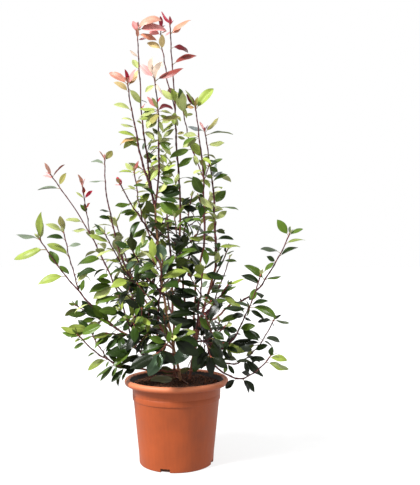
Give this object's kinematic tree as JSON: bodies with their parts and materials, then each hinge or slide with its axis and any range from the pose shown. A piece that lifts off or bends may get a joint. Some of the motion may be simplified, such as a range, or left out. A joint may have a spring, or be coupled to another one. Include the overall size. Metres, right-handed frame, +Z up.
{
  "type": "potted photinia shrub",
  "caption": "Evergreen photinia shrub with thin upright shoots, glossy green leaves and red young tips, standing in a round tapered nursery pot with soil.",
  "frame": {"origin": "centre of the pot's flat underside", "axes": "+Z up along the pot's axis and the tallest shoots; the side the picture shows faces -Y, with +X to its right"},
  "size_m": [0.6065, 0.4566, 0.9612],
  "materials": {
    "terracotta_plastic": "satin moulded plastic in a terracotta colour",
    "potting_soil": "dark moist peat crumb",
    "young_bark": "smooth red-brown young bark",
    "leaves": "glossy leathery leaves, red and bronze at the tips"
  },
  "bodies": {
    "root": {"back_left": "leaves", "back_left_low": "leaves", "back_right": "leaves", "back_right_low": "leaves", "back_right_tall": "leaves", "back_tall": "leaves", "body_back": "leaves", "body_left": "leaves", "body_left_high": "leaves", "body_left_low": "leaves", "body_right": "leaves", "body_right_low": "leaves", "bough_back_left": "young_bark", "bough_back_right": "young_bark", "bough_centre": "young_bark", "bough_front_left": "young_bark", "bough_front_right": "young_bark", "bough_left_low": "young_bark", "bough_left_mid": "young_bark", "bough_left_out": "young_bark", "bough_right_in": "young_bark", "bough_right_low": "young_bark", "bough_right_out": "young_bark", "bough_right_rim": "young_bark", "crown_centre": "leaves", "crown_inner_left": "leaves", "crown_inner_right": "leaves", "crown_left": "leaves", "crown_left_tall": "leaves", "crown_right": "leaves", "inner_centre": "leaves", "inner_front": "leaves", "inner_high": "leaves", "inner_left": "leaves", "inner_right": "leaves", "left_front": "leaves", "left_inner": "leaves", "left_low": "leaves", "left_middle": "leaves", "left_outer": "leaves", "left_side": "leaves", "left_tall": "leaves", "left_upper": "leaves", "low_front": "leaves", "low_left": "leaves", "low_right": "leaves", "pot": "terracotta_plastic", "right_low": "leaves", "right_middle": "leaves", "right_outer": "leaves", "right_rim": "leaves", "right_upper": "leaves", "rim_left": "leaves", "rim_right": "leaves", "soil": "potting_soil", "stem_back": "young_bark", "stem_left": "young_bark", "stem_right": "young_bark"}
  },
  "joints": []
}
